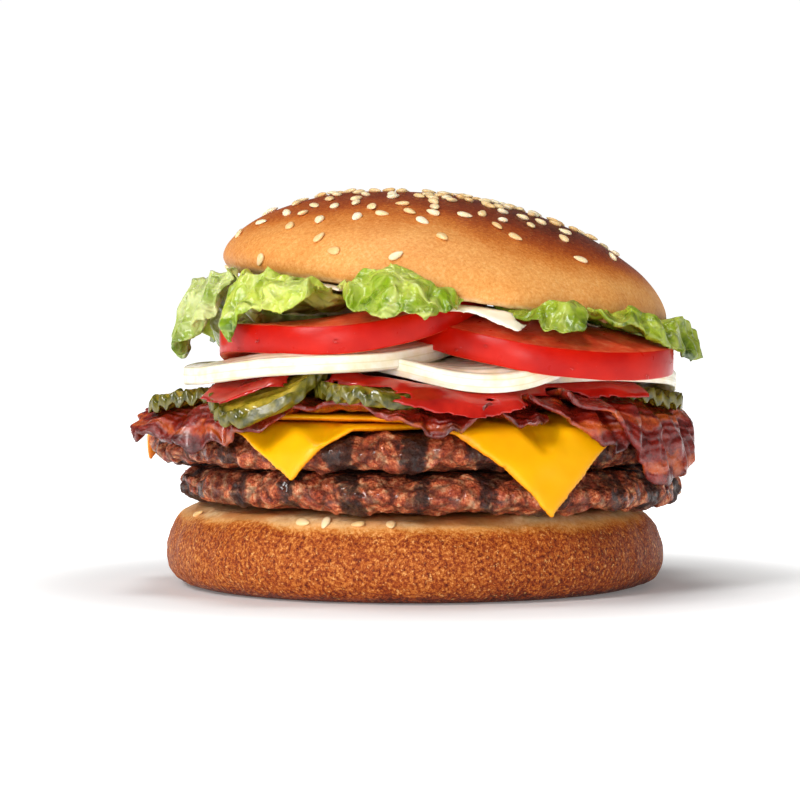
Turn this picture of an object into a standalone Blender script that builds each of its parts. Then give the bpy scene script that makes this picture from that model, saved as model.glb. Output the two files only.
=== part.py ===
"""Bacon double cheeseburger on a sesame bun, standing free, every layer its own closed solid.

Frame: the origin is the middle of the bun heel's flat base, +Z is up and -Y is the front, where
the cheese corners, bacon edges and lettuce hang out. All sizes are millimetres until a solid is made.

The food is stacked from the plate up. Pile remembers how high and how far out the food reaches, so
each next layer rests on what is under it, with a small clearance, and hangs outside what is beside it.
"""

import math

import bmesh
import bpy
import numpy as np
from mathutils.bvhtree import BVHTree

MM = 0.001
CLEARANCE = 0.3
DENT_CLEARANCE = 0.2
SAUCE_LIFT = 1.0
FLAT_ANGLE = 1.5

# Bun heel: profile of (radius, height) from the middle of the base to the middle of the top.
HEEL_PROFILE = (
    (0, 0), (50.5, 0), (54.8, 1.3), (56.9, 3.9), (57.3, 7.2), (56.7, 11.2),
    (55.3, 14.6), (53.3, 17.2), (50, 18.9), (44, 19.5), (22, 19.4), (0, 19.3),
)
HEEL_SEGMENTS = 36

# Patties: profile in the patty's own height, then radius, middle and the lumps of the ground meat.
PATTY_PROFILE = (
    (0, 0), (0.5, 0), (0.8, 0.1), (0.93, 0.9), (0.985, 2.6), (1, 4.6),
    (0.985, 6.4), (0.93, 7.9), (0.8, 8.6), (0.5, 8.8), (0, 8.9),
)
PATTIES = {
    "patty_lower": {"radius": 58.0, "middle": (3.0, 0.0), "seed": 21},
    "patty_upper": {"radius": 58.5, "middle": (-1.5, 0.0), "seed": 25},
}
PATTY_LUMP = 0.9
PATTY_SEGMENTS = 36
PATTY_SOFTNESS = 7

# Cheese: square slices, turned as diamonds, whose corners bend over the edge of the upper patty.
CHEESE_SIDE = 86.0
CHEESE_THICKNESS = 1.5
CHEESE_CELLS = 9
CHEESE_BEND_RADIUS = 3.0
CHEESE_HANG_ANGLE = 78.0
CHEESES = {
    "cheese_left": {"middle": (-11.0, -6.8), "corner_azimuth": -108.5},
    "cheese_right": {"middle": (9.8, -14.3), "corner_azimuth": -65.0},
}
CHEESE_SOFTNESS = 4

# Crown: profile above its rim plane, and the pose of that plane.
CROWN_PROFILE = (
    (0, -1.6), (24, -1.8), (44, -1.9), (49.4, -1.2), (51.6, 0.3), (52.2, 2.2), (50.9, 5.0),
    (48.4, 8.3), (44.4, 11.8), (38.6, 15.3), (30.8, 18.6), (21, 21.3), (10.5, 22.9), (0, 23.4),
)
CROWN_MIDDLE = (6.5, 0.0, 66.3)
CROWN_TILT = 8.5
CROWN_SEGMENTS = 34
CROWN_PRESSED_RADIUS = 48.0
CROWN_SOFTNESS = 5

# Hanging sheets. Each row is one direction: azimuth, radius of the lip, then radius and height of
# the hem. The sheet lies on the pile from its inner radius to the lip and hangs from there.
BACON_THICKNESS = 1.3
BACON_INNER = 41.0
BACON_RIPPLE = 0.9
BACON_WAVE = 16
BACON_BULGE = 0.9
BACON_TAPER = 0.1
BACON_DIP = 2.5
BACON_SOFTNESS = 3
BACON_STEP = 4.6
BACON_ROWS = 6
BACON_STRIPS = {
    "bacon_left": (
        (-184, 52, 59, 38.6), (-172, 54, 62.5, 37.2), (-163, 56.5, 66.5, 35.6), (-156, 58.5, 69.5, 33.4),
        (-149, 58.5, 65.5, 33.8), (-142, 58.5, 63.4, 30.8), (-135, 58.5, 62.4, 32.2), (-126, 58, 61.8, 35.2),
        (-119, 57, 60.6, 40.4),
    ),
    "bacon_front": (
        (-121, 53, 58.5, 41.8), (-113, 56, 60.6, 41.0), (-104, 57, 61.2, 42.0), (-94, 57.5, 62.2, 37.6),
        (-83, 57.5, 63, 34.8), (-75, 57.5, 60.8, 41.8), (-66, 57, 63.2, 35.9), (-61, 57, 62, 38.6),
    ),
    "bacon_front_right": (
        (-67, 50, 57.5, 42.4), (-61, 54, 60.8, 40.0), (-54, 57, 62.6, 36.0), (-47, 57.5, 63.5, 30.8),
        (-41, 58, 62.6, 33.4), (-35, 56.5, 60.8, 37.0),
    ),
    "bacon_right": (
        (-58, 48, 55.5, 43.6), (-50, 53, 59.5, 40.0), (-43, 57.5, 62.5, 33.6), (-36, 59.5, 64, 24.6),
        (-31, 60, 64, 21.6), (-26, 60, 63.8, 25.6), (-20, 59.5, 63.6, 25.0), (-14, 59, 63.2, 29.4),
        (-5, 57.5, 61.5, 34.6), (6, 55, 60, 38.0),
    ),
    "bacon_back_right": (
        (18, 55, 62, 37.5), (32, 57, 65.5, 33.2), (46, 57, 62.5, 37.6), (60, 57, 64, 33.6),
        (74, 55, 61.5, 38.2),
    ),
    "bacon_back_left": (
        (84, 55, 61, 39.0), (98, 57, 63.5, 34.4), (112, 57, 62, 38.4), (128, 57, 65, 32.8),
        (144, 57, 62.5, 36.8), (160, 55, 61, 38.0),
    ),
}

# Pickle chips: crinkle-cut discs. Middle, radius and the direction in which the ridges run.
PICKLE_THICKNESS = 2.3
PICKLE_CRINKLE = 0.35
PICKLE_PITCH = 4.6
PICKLE_ROWS = 7
PICKLE_DROOP = 4.5
PICKLE_SOFTNESS = 2
PICKLES = {
    "pickle_left": ((-46.5, -20.5), 13.0, 62.0),
    "pickle_front_right": ((-8.5, -49.0), 13.5, 78.0),
    "pickle_front_left": ((-31.0, -44.0), 13.5, 104.0),
    "pickle_right": ((46.0, -20.5), 13.5, 20.0),
    "pickle_back_right": ((26.0, 37.0), 13.0, 130.0),
    "pickle_back_left": ((-24.0, 38.0), 13.0, 35.0),
}

# Sauces: the outline all the way round, as (azimuth, radius of the lip, radius and height of the hem).
KETCHUP_THICKNESS = 0.8
KETCHUP_OUTLINE = (
    (-180, 42, 44, 46.0), (-160, 44, 46, 45.0), (-148, 48, 50, 45.4), (-138, 55.5, 60.0, 44.0),
    (-131, 58.2, 61.8, 41.6), (-124, 54, 57, 46.8), (-112, 52, 54, 47.0), (-100, 52.5, 55, 46.4),
    (-90, 56.5, 59.6, 42.6), (-80, 58, 60.8, 39.8), (-70, 57, 59.5, 42.2), (-58, 50.5, 53, 44.4),
    (-46, 55.5, 58, 44.2), (-36, 55.5, 58, 44.2), (-24, 48, 50.5, 44.4), (0, 44, 46, 43.0),
    (30, 46, 48, 44.0), (52, 48.5, 51, 44.0), (72, 46, 48.5, 44.0), (96, 48, 50.5, 44.0),
    (122, 45, 47, 44.5), (146, 48, 50.5, 44.0), (165, 44, 46, 45.0),
)
KETCHUP_INSIDE = 56.0
SAUCE_COLUMNS = 42
SAUCE_ROWS = 5
SAUCE_SOFTNESS = 4
MAYO_THICKNESS = 1.2
MAYO_PRESS = 1.0

# Round slices: middle, radius, thickness, least height of the underside at the middle, and slopes.
ONIONS = {
    "onion_back": {"middle": (-8.0, 31.0), "radius": 27.0, "height": 45.0, "slope": (-0.06, 0.0)},
    "onion_right": {"middle": (29.5, -15.0), "radius": 29.0, "height": 42.4, "slope": (-0.08, 0.0)},
    "onion_front": {"middle": (12.5, -32.0), "radius": 25.5, "height": 45.4, "slope": (0.0, 0.0)},
    "onion_left": {"middle": (-21.0, -26.0), "radius": 31.0, "height": 46.4, "slope": (-0.02, 0.0)},
}
ONION_THICKNESS = 3.2
TOMATOES = {
    "tomato_back": {"middle": (8.0, 32.0), "radius": 27.0, "height": 50.0, "slope": (-0.12, 0.0)},
    "tomato_right": {"middle": (27.0, -23.5), "radius": 32.0, "height": 49.0, "slope": (-0.10, 0.0)},
    "tomato_left": {"middle": (-13.5, -25.5), "radius": 30.5, "height": 52.0, "slope": (0.12, 0.0)},
}
TOMATO_THICKNESS = 5.6
SLICE_SEGMENTS = 26
SLICE_REST_PERCENTILE = 12
SLICE_SOFTNESS = 2

# Lettuce: one row per direction: azimuth, then height of the ridge that rises outside the crown's
# rim, then radius and height of the hem. Each leaf runs in between the tomato and the crown.
LEAF_THICKNESS = 1.2
LEAF_INNER = 20.0
LEAF_FOLD = 1.6
LEAF_FOLD_TURN = 15.0
LEAF_HEM_GAP = 3.2
LEAF_ROOF_GAP = 1.0
LEAF_BULGE = 1.9
LEAF_TAPER = 0.22
LEAF_SOFTNESS = 4
LEAF_STEP = 5.0
LEAF_ROWS = 8
LEAVES = {
    "lettuce_back": (
        (67.5, 65.5, 58, 57.0), (80, 68.5, 59.5, 55.5), (92, 67.0, 60.5, 57.5), (102, 69.5, 60, 56.0),
        (110, 68.0, 58, 58.5),
    ),
    "lettuce_back_left": (
        (111.5, 67.5, 56, 60.0), (123, 71.0, 58, 57.0), (136, 69.0, 60, 58.5), (149, 71.5, 60, 55.0),
        (158, 69.0, 58, 58.0), (165.5, 70.5, 56, 60.0),
    ),
    "lettuce_back_right": (
        (9.5, 60.5, 61, 54.5), (26, 62.8, 63, 52.0), (40, 61.5, 62, 54.0), (54, 64.0, 61, 52.5),
        (66, 64.5, 59, 56.0),
    ),
    "lettuce_left": (
        (-193, 68.5, 52, 60.0), (-180, 69.0, 53.5, 56.0), (-168, 70.5, 55, 54.0), (-156, 71.8, 58, 52.4),
        (-149, 72.4, 59.5, 53.6), (-142, 71.6, 60, 54.4),
    ),
    "lettuce_front_left": (
        (-140.6, 72.6, 61.5, 61.0), (-133, 72.6, 62.5, 55.0), (-126, 72.0, 62.5, 63.0),
        (-118, 71.2, 62.5, 60.6), (-111, 68.5, 60.5, 65.0),
    ),
    "lettuce_front": (
        (-109.6, 67.8, 61.5, 62.0), (-104, 70.8, 63.0, 61.8), (-97, 73.2, 63.5, 62.0),
        (-90, 70.6, 64.5, 62.2), (-84, 67.2, 62.5, 61.4), (-79, 64.6, 59.5, 61.0),
    ),
    "lettuce_front_right": (
        (-68, 62.2, 58.5, 58.4), (-64, 64.0, 61.5, 57.2), (-59, 66.0, 62.5, 57.2),
        (-55, 64.6, 62, 57.6), (-50.6, 62.6, 60, 58.4),
    ),
    "lettuce_right": (
        (-49.2, 61.6, 60, 56.8), (-44, 62.8, 62, 55.0), (-38, 63.4, 63.5, 54.6), (-30, 62.0, 64.5, 53.4),
        (-22, 61.8, 65, 52.6), (-13, 60.6, 63.5, 51.6), (-4, 60.0, 62.5, 52.6), (8, 59.6, 61, 54.0),
    ),
}
MAYO_OUTLINE = (
    (-180, 36, 38, 68.0), (-150, 38, 40.5, 69.5), (-128, 42, 44.5, 70.2), (-117, 46.0, 48.0, 69.2),
    (-106, 46.5, 48.5, 67.2), (-92, 46.5, 48.5, 64.4), (-83, 47.5, 50, 63.4), (-78, 50.5, 54.0, 63.0),
    (-73, 52.5, 58.6, 60.0), (-70, 53.5, 60.6, 57.6), (-67, 53, 59.6, 59.6), (-62, 50.5, 53.0, 61.6),
    (-54, 48.5, 51, 60.6), (-44, 49.5, 52, 59.4), (-34, 48, 50.5, 58.8), (-10, 44, 46.5, 57.2),
    (30, 44, 46.5, 57.5), (70, 44, 46.5, 62.0), (110, 42, 44.5, 65.0), (150, 38, 40.5, 67.0),
)

COLOURS = {
    "bun": ((0.62, 0.27, 0.075, 1), 0.55),
    "patty": ((0.16, 0.045, 0.020, 1), 0.45),
    "cheese": ((0.93, 0.52, 0.010, 1), 0.35),
    "bacon": ((0.40, 0.075, 0.035, 1), 0.4),
    "pickle": ((0.27, 0.26, 0.030, 1), 0.3),
    "ketchup": ((0.42, 0.012, 0.008, 1), 0.2),
    "onion": ((0.86, 0.80, 0.66, 1), 0.35),
    "tomato": ((0.68, 0.030, 0.012, 1), 0.2),
    "lettuce": ((0.42, 0.58, 0.090, 1), 0.4),
    "mayo": ((0.90, 0.82, 0.62, 1), 0.3),
}


# ---------------------------------------------------------------- the pile


class Pile:
    """How high, seen from above, and how far out, seen from the side, the food reaches so far."""

    HALF = 90
    LEVELS = 110

    def __init__(self):
        self.solids = []
        self.top = np.zeros((2 * self.HALF + 1, 2 * self.HALF + 1))
        self.reach = np.zeros((360, self.LEVELS))

    def add(self, thing):
        self.solids.append(thing)
        points = np.array([vertex.co for vertex in thing.data.vertices]) / MM
        faces = np.array([tuple(face.vertices) for face in thing.data.polygons])
        samples = surface_samples(points, faces, 0.7)
        cells = np.rint(samples[:, :2]).astype(int) + self.HALF
        np.maximum.at(self.top, (cells[:, 0], cells[:, 1]), samples[:, 2])
        turn = np.rint(np.degrees(np.arctan2(samples[:, 1], samples[:, 0]))).astype(int) % 360
        level = np.clip(np.rint(samples[:, 2]).astype(int), 0, self.LEVELS - 1)
        np.maximum.at(self.reach, (turn, level), np.hypot(samples[:, 0], samples[:, 1]))

    def settled(self, softness):
        """The heights as a layer that can't bend sharper than this softness in mm lies on them."""
        return blurred(widened(self.top, softness + 1), softness)

    def beside(self, azimuth, height):
        """The farthest the food reaches near this direction and height."""
        turns = (np.rint(azimuth).astype(int) + np.arange(-2, 3)) % 360
        low = max(int(height) - 1, 0)
        return self.reach[turns, low : low + 4].max()


def surface_samples(points, faces, spacing):
    """Points spread over the triangles, no further apart than the spacing."""
    corners = points[faces]
    sides = np.linalg.norm(corners - np.roll(corners, 1, axis=1), axis=2).max(axis=1)
    counts = np.ceil(sides / spacing).astype(int)
    found = []
    for count in np.unique(counts):
        i, j = np.meshgrid(np.arange(count + 1), np.arange(count + 1), indexing="ij")
        keep = i + j <= count
        weights = np.stack([i[keep], j[keep], count - i[keep] - j[keep]], axis=1) / count
        found.append(np.einsum("wk,fkd->fwd", weights, corners[counts == count]).reshape(-1, 3))
    return np.concatenate(found)


def widened(heights, radius):
    """The highest height within the radius of each cell, by steps alternating square and cross."""
    for step in range(int(round(radius))):
        grown = heights.copy()
        for dx in (-1, 0, 1):
            for dy in (-1, 0, 1):
                if step % 2 == 0 and dx != 0 and dy != 0:
                    continue
                grown = np.maximum(grown, np.roll(heights, (dx, dy), axis=(0, 1)))
        heights = grown
    return heights


def blurred(heights, radius):
    """Averages over the radius, never reaching beyond it."""
    for step in range(int(round(radius))):
        total = heights * 4
        for dx, dy in ((1, 0), (-1, 0), (0, 1), (0, -1)):
            total = total + np.roll(heights, (dx, dy), axis=(0, 1))
        heights = total / 8
    return heights


def height_at(heights, x, y):
    """The height map between its cells."""
    u = np.clip(np.asarray(x, float) + Pile.HALF, 0, 2 * Pile.HALF - 1.001)
    v = np.clip(np.asarray(y, float) + Pile.HALF, 0, 2 * Pile.HALF - 1.001)
    i, j = u.astype(int), v.astype(int)
    a, b = u - i, v - j
    near = heights[i, j] * (1 - b) + heights[i, j + 1] * b
    far = heights[i + 1, j] * (1 - b) + heights[i + 1, j + 1] * b
    return near * (1 - a) + far * a


# ---------------------------------------------------------------- shape helpers


def lumps(seed, size, count=10):
    """A smooth uneven function of position, about -1 to 1, with bumps of about this size in mm."""
    rng = np.random.RandomState(seed)
    ways = rng.normal(size=(count, 3))
    ways *= (2 * math.pi / size * rng.uniform(0.35, 0.75, count) / np.linalg.norm(ways, axis=1))[:, None]
    phases = rng.uniform(0, 2 * math.pi, count)

    def value(points):
        return np.sin(np.asarray(points) @ ways.T + phases).sum(axis=-1) / math.sqrt(count)

    return value


def smooth_row(table, azimuths):
    """Each column of a table at the azimuths, eased between the rows."""
    rows = np.array(table, float)
    at = np.clip(azimuths, rows[0, 0], rows[-1, 0])
    place = np.clip(np.searchsorted(rows[:, 0], at, side="right") - 1, 0, len(rows) - 2)
    share = (at - rows[place, 0]) / (rows[place + 1, 0] - rows[place, 0])
    share = share * share * (3 - 2 * share)
    return rows[place, 1:] + share[:, None] * (rows[place + 1, 1:] - rows[place, 1:])


def resampled(path, count):
    """The polyline as points at even distances along it."""
    path = np.asarray(path, float)
    steps = np.linalg.norm(np.diff(path, axis=0), axis=1)
    along = np.concatenate([[0], np.cumsum(steps)])
    at = np.linspace(0, along[-1], count)
    return np.stack([np.interp(at, along, path[:, k]) for k in range(path.shape[1])], axis=1)


def grid_normals(grid, closed):
    """Unit normals of a grid of points, by its neighbours on both sides."""
    if closed:
        across = np.roll(grid, -1, axis=0) - np.roll(grid, 1, axis=0)
    else:
        across = np.gradient(grid, axis=0)
    along = np.gradient(grid, axis=1)
    normals = np.cross(across, along)
    normals /= np.linalg.norm(normals, axis=2, keepdims=True) + 1e-9
    return normals


def sheet_solid(grid, thickness, closed=False):
    """A closed sheet standing on the grid: thickness is one number, or one for each grid point."""
    normals = grid_normals(grid, closed)
    if normals[..., 2].sum() < 0:
        normals = -normals
    upper = grid + normals * np.broadcast_to(thickness, grid.shape[:2])[..., None]
    rows, columns = grid.shape[:2]
    index = np.arange(rows * columns).reshape(rows, columns)
    last = rows if closed else rows - 1
    faces = []
    for i in range(last):
        for j in range(columns - 1):
            k = (i + 1) % rows
            loop = (index[i, j], index[k, j], index[k, j + 1], index[i, j + 1])
            faces.append(loop)
            faces.append(tuple(n + rows * columns for n in reversed(loop)))
    rims = [[index[i % rows, 0] for i in range(last + 1)]]
    rims.append([index[i % rows, -1] for i in range(last, -1, -1)])
    if not closed:
        rims.append([index[0, j] for j in range(columns - 1, -1, -1)])
        rims.append([index[-1, j] for j in range(columns)])
    for rim in rims:
        for a, b in zip(rim[:-1], rim[1:]):
            faces.append((b, a, a + rows * columns, b + rows * columns))
    return np.concatenate([grid.reshape(-1, 3), upper.reshape(-1, 3)]), faces


def turned_solid(profile, segments):
    """A profile of (radius, height), from axis to axis, turned round the upright axis."""
    rings = [np.array([[0, 0, profile[0][1]]], float)]
    angles = np.linspace(0, 2 * math.pi, segments, endpoint=False)
    for radius, height in profile[1:-1]:
        ring = [radius * np.cos(angles), radius * np.sin(angles), np.full(segments, height)]
        rings.append(np.stack(ring, axis=1))
    rings.append(np.array([[0, 0, profile[-1][1]]], float))
    faces = []
    for i in range(segments):
        j = (i + 1) % segments
        faces.append((0, 1 + j, 1 + i))
        for ring in range(len(rings) - 3):
            low = 1 + ring * segments
            faces.append((low + i, low + j, low + segments + j, low + segments + i))
        low = 1 + (len(rings) - 3) * segments
        faces.append((low + i, low + j, 1 + (len(rings) - 2) * segments))
    return np.concatenate(rings), faces


def make_solid(name, look, points, faces, pile):
    """Adds the closed solid, dented by what it is pressed on, and lays it on the pile."""
    mesh = bpy.data.meshes.new(name)
    work = bmesh.new()
    corners = [work.verts.new(point) for point in np.asarray(points) * MM]
    for face in faces:
        work.faces.new([corners[n] for n in face])
    bmesh.ops.recalc_face_normals(work, faces=work.faces)
    if work.calc_volume(signed=True) < 0:
        bmesh.ops.reverse_faces(work, faces=work.faces)
    bmesh.ops.triangulate(work, faces=work.faces)
    work.to_mesh(mesh)
    work.free()
    thing = bpy.data.objects.new(name, mesh)
    bpy.context.scene.collection.objects.link(thing)
    dent(thing, pile.solids)
    thing.data.materials.clear()
    thing.data.materials.append(look)
    pile.add(thing)


def tree_of(mesh):
    """A search tree of a triangle mesh."""
    points = [vertex.co for vertex in mesh.vertices]
    return BVHTree.FromPolygons(points, [tuple(face.vertices) for face in mesh.polygons])


def dent(thing, others):
    """Cuts away what runs into the earlier solids, leaving a small gap."""
    for other in others:
        if not tree_of(thing.data).overlap(tree_of(other.data)):
            continue
        cutter = swollen(other)
        cut = thing.modifiers.new("dent", "BOOLEAN")
        cut.operation = "DIFFERENCE"
        cut.solver = "MANIFOLD"
        cut.object = cutter
        graph = bpy.context.evaluated_depsgraph_get()
        thing.data = bpy.data.meshes.new_from_object(thing.evaluated_get(graph))
        thing.modifiers.clear()
        bpy.data.objects.remove(cutter, do_unlink=True)
        keep_main_body(thing.data)


def swollen(other):
    """A hidden copy of a solid, grown by the gap that is kept to it."""
    work = bmesh.new()
    work.from_mesh(other.data)
    work.normal_update()
    for vertex in work.verts:
        vertex.co += vertex.normal * DENT_CLEARANCE * MM
    mesh = bpy.data.meshes.new("swollen")
    work.to_mesh(mesh)
    work.free()
    copy = bpy.data.objects.new("swollen", mesh)
    copy.hide_render = True
    bpy.context.scene.collection.objects.link(copy)
    return copy


def keep_main_body(mesh):
    """Leaves the largest piece of the mesh that hangs together by its edges, as triangles."""
    work = bmesh.new()
    work.from_mesh(mesh)
    bmesh.ops.triangulate(work, faces=work.faces)
    left = set(work.faces)
    bodies = []
    while left:
        fresh = [left.pop()]
        body = list(fresh)
        while fresh:
            near = {other for edge in fresh.pop().edges for other in edge.link_faces} & left
            left -= near
            fresh += near
            body += near
        bodies.append(body)
    bodies.sort(key=len)
    for body in bodies[:-1]:
        bmesh.ops.delete(work, geom=body, context="FACES")
    flat = math.radians(FLAT_ANGLE)
    bmesh.ops.dissolve_limit(work, angle_limit=flat, verts=work.verts, edges=work.edges)
    bmesh.ops.triangulate(work, faces=work.faces)
    work.to_mesh(mesh)
    work.free()


# ---------------------------------------------------------------- the layers


def bun_heel():
    points, faces = turned_solid(HEEL_PROFILE, HEEL_SEGMENTS)
    uneven = lumps(11, 30)(points)
    side = np.clip(points[:, 2] / 6, 0, 1)
    points[:, :2] *= (1 + 0.006 * uneven * side)[:, None]
    points[:, 2] -= 0.35 * (1 + lumps(12, 24)(points)) * np.clip(points[:, 2] / 19, 0, 1) ** 4
    return points, faces


def patty(pile, radius, middle, seed):
    points, faces = turned_solid([(r * radius, h) for r, h in PATTY_PROFILE], PATTY_SEGMENTS)
    middle = np.array(middle)
    points[:, :2] += middle
    uneven = lumps(seed, 9)(points)
    edge = np.clip((np.hypot(*(points[:, :2] - middle).T) / radius - 0.75) / 0.2, 0, 1)
    points[:, :2] += (points[:, :2] - middle) / radius * (PATTY_LUMP * uneven * edge)[:, None]
    points[:, 2] += 0.25 * lumps(seed + 1, 12)(points) * (points[:, 2] > 5)
    points[:, 2] += CLEARANCE + height_at(pile.settled(PATTY_SOFTNESS), points[:, 0], points[:, 1])
    return points, faces


def cheese(pile, middle, corner_azimuth):
    """A square that lies on the patty and bends down its side where it reaches past the edge."""
    half = CHEESE_SIDE / 2
    steps = np.linspace(-half, half, CHEESE_CELLS + 1)
    u, v = np.meshgrid(steps, steps, indexing="ij")
    turn = math.radians(corner_azimuth - 45)
    x = middle[0] + u * math.cos(turn) - v * math.sin(turn)
    y = middle[1] + u * math.sin(turn) + v * math.cos(turn)
    rest = pile.settled(CHEESE_SOFTNESS)
    grid = np.empty(x.shape + (3,))
    for place in np.ndindex(x.shape):
        grid[place] = over_the_edge(pile, rest, x[place], y[place])
    return sheet_solid(grid, CHEESE_THICKNESS)


def over_the_edge(pile, rest, x, y):
    """Where a point of a flat slice comes to lie, bent over the edge of the food below it."""
    azimuth = math.degrees(math.atan2(y, x))
    distance = math.hypot(x, y)
    edge = max(pile.beside(azimuth, height) for height in (27, 31, 35, 38)) - CHEESE_BEND_RADIUS + 1.2
    flat = min(distance, edge)
    bend = min(max(distance - edge, 0) / CHEESE_BEND_RADIUS, math.radians(CHEESE_HANG_ANGLE))
    hang = max(distance - edge - bend * CHEESE_BEND_RADIUS, 0)
    radius = flat + CHEESE_BEND_RADIUS * math.sin(bend) + hang * math.cos(math.radians(CHEESE_HANG_ANGLE))
    way = np.array([x, y]) / max(distance, 1e-6)
    inside = min(flat, edge - 5)
    top = CLEARANCE + float(height_at(rest, *(way * inside)))
    drop = CHEESE_BEND_RADIUS * (1 - math.cos(bend)) + hang * math.sin(math.radians(CHEESE_HANG_ANGLE))
    return np.array([*(way * radius), top - drop])


def heading(azimuth):
    """The level direction at this azimuth in degrees."""
    return np.array([math.cos(math.radians(azimuth)), math.sin(math.radians(azimuth))])


def bacon(pile, table):
    """A strip that follows the pile out to the lip and hangs from there to its hem."""
    columns = int(round((table[-1][0] - table[0][0]) / BACON_STEP)) + 1
    azimuths = np.linspace(table[0][0], table[-1][0], columns)
    values = smooth_row(table, azimuths)
    rest = pile.settled(BACON_SOFTNESS)
    grid = np.empty((columns, BACON_ROWS, 3))
    for i, (azimuth, (lip, hem, hem_height)) in enumerate(zip(azimuths, values)):
        way = heading(azimuth)
        path = []
        for radius in np.linspace(BACON_INNER, lip, 5):
            path.append((radius, CLEARANCE + float(height_at(rest, *(way * radius)))))
        path = sagging(path)
        hem = max(hem, pile.beside(azimuth, hem_height) + 2 * CLEARANCE)
        path.append(((lip + hem) / 2 + BACON_BULGE, path[-1][1] * 0.55 + hem_height * 0.45))
        path.append((hem, hem_height))
        line = resampled(path, BACON_ROWS)
        edge = abs(2 * i / (columns - 1) - 1)
        line = shortened(line, 1 - BACON_TAPER * edge**4)
        grid[i, :, :2] = way * line[:, :1]
        grid[i, :, 2] = line[:, 1]
    uneven = np.clip(1 + lumps(41, BACON_WAVE)(grid), 0, 3)
    grid[..., 2] += BACON_RIPPLE * uneven * np.linspace(0.2, 1, BACON_ROWS) ** 2
    return sheet_solid(grid, BACON_THICKNESS)


def sagging(path):
    """The path with no lip lower than the flat it comes from, so that the sheet doesn't dive early."""
    floor = max(path[2][1] - BACON_DIP, path[-1][1])
    return path[:3] + [(radius, max(height, floor)) for radius, height in path[3:]]


def shortened(line, share):
    """The first share of the line's length."""
    steps = np.linalg.norm(np.diff(line, axis=0), axis=1)
    along = np.concatenate([[0], np.cumsum(steps)])
    at = np.linspace(0, along[-1] * share, len(line))
    return np.stack([np.interp(at, along, line[:, k]) for k in range(line.shape[1])], axis=1)


def crown_underside(x, y):
    """The height of the crown's underside, as a plane, above a place."""
    slope = math.tan(math.radians(CROWN_TILT))
    return CROWN_MIDDLE[2] + CROWN_PROFILE[0][1] - (x - CROWN_MIDDLE[0]) * slope


def mayo_roof(x, y):
    """The mayonnaise is pressed flat under the crown."""
    return crown_underside(x, y) - MAYO_THICKNESS + MAYO_PRESS


def no_roof(x, y):
    return np.full(np.shape(x), np.inf)


def crown_rim_radius(azimuth):
    """How far from the origin the crown's rim lies in this direction."""
    widest = max(radius for radius, height in CROWN_PROFILE)
    angle = math.radians(azimuth)
    shift = CROWN_MIDDLE[0]
    return shift * math.cos(angle) + math.sqrt(widest**2 - (shift * math.sin(angle)) ** 2)


def leaf(pile, table, seed):
    """A lettuce leaf from the middle of the food, up over a ridge beside the crown, down to its hem."""
    columns = max(8, int(round((table[-1][0] - table[0][0]) / LEAF_STEP)) + 1)
    azimuths = np.linspace(table[0][0], table[-1][0], columns)
    values = smooth_row(table, azimuths)
    rest = pile.settled(LEAF_SOFTNESS)
    grid = np.empty((columns, LEAF_ROWS, 3))
    for i, (azimuth, (ridge_height, hem, hem_height)) in enumerate(zip(azimuths, values)):
        way = heading(azimuth)
        rim = crown_rim_radius(azimuth)
        hem = max(hem, pile.beside(azimuth, hem_height) + 2 * CLEARANCE, rim + LEAF_HEM_GAP)
        fold = LEAF_FOLD * (1 + math.sin(2 * math.pi * azimuth / LEAF_FOLD_TURN + seed)) / 2
        path = tucked_in(rest, way, rim, fold)
        path.append((rim + 2.0, max(ridge_height - 0.8, path[-1][1] + 0.4)))
        path.append((max(rim + 2.9, (rim + hem) / 2 - 0.4), max(ridge_height, path[-1][1] + 0.2)))
        path.append(((rim + hem) / 2 + LEAF_BULGE, ridge_height * 0.62 + hem_height * 0.38))
        path.append((hem, hem_height))
        edge = abs(2 * i / (columns - 1) - 1)
        line = resampled(shortened(resampled(path, 40), 1 - LEAF_TAPER * edge**3), LEAF_ROWS)
        grid[i, :, :2] = way * line[:, :1]
        grid[i, :, 2] = line[:, 1]
    return sheet_solid(grid, LEAF_THICKNESS)


def tucked_in(rest, way, rim, fold):
    """The part of a leaf's path that lies between the food and the crown, out to the crown's rim."""
    path = []
    for radius in (LEAF_INNER, (LEAF_INNER + rim) / 2, rim - 4.5):
        low = CLEARANCE + float(height_at(rest, *(way * radius)))
        roof = crown_underside(*(way * radius)) - LEAF_THICKNESS - LEAF_ROOF_GAP
        path.append((radius, min(low + fold * radius / rim * 2, max(roof, low))))
    ceiling = crown_underside(*(way * rim)) - LEAF_THICKNESS - LEAF_ROOF_GAP
    path.append((rim + 1.1, max(min(ceiling, path[-1][1] + 3), path[-1][1] - 2)))
    return path


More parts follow.
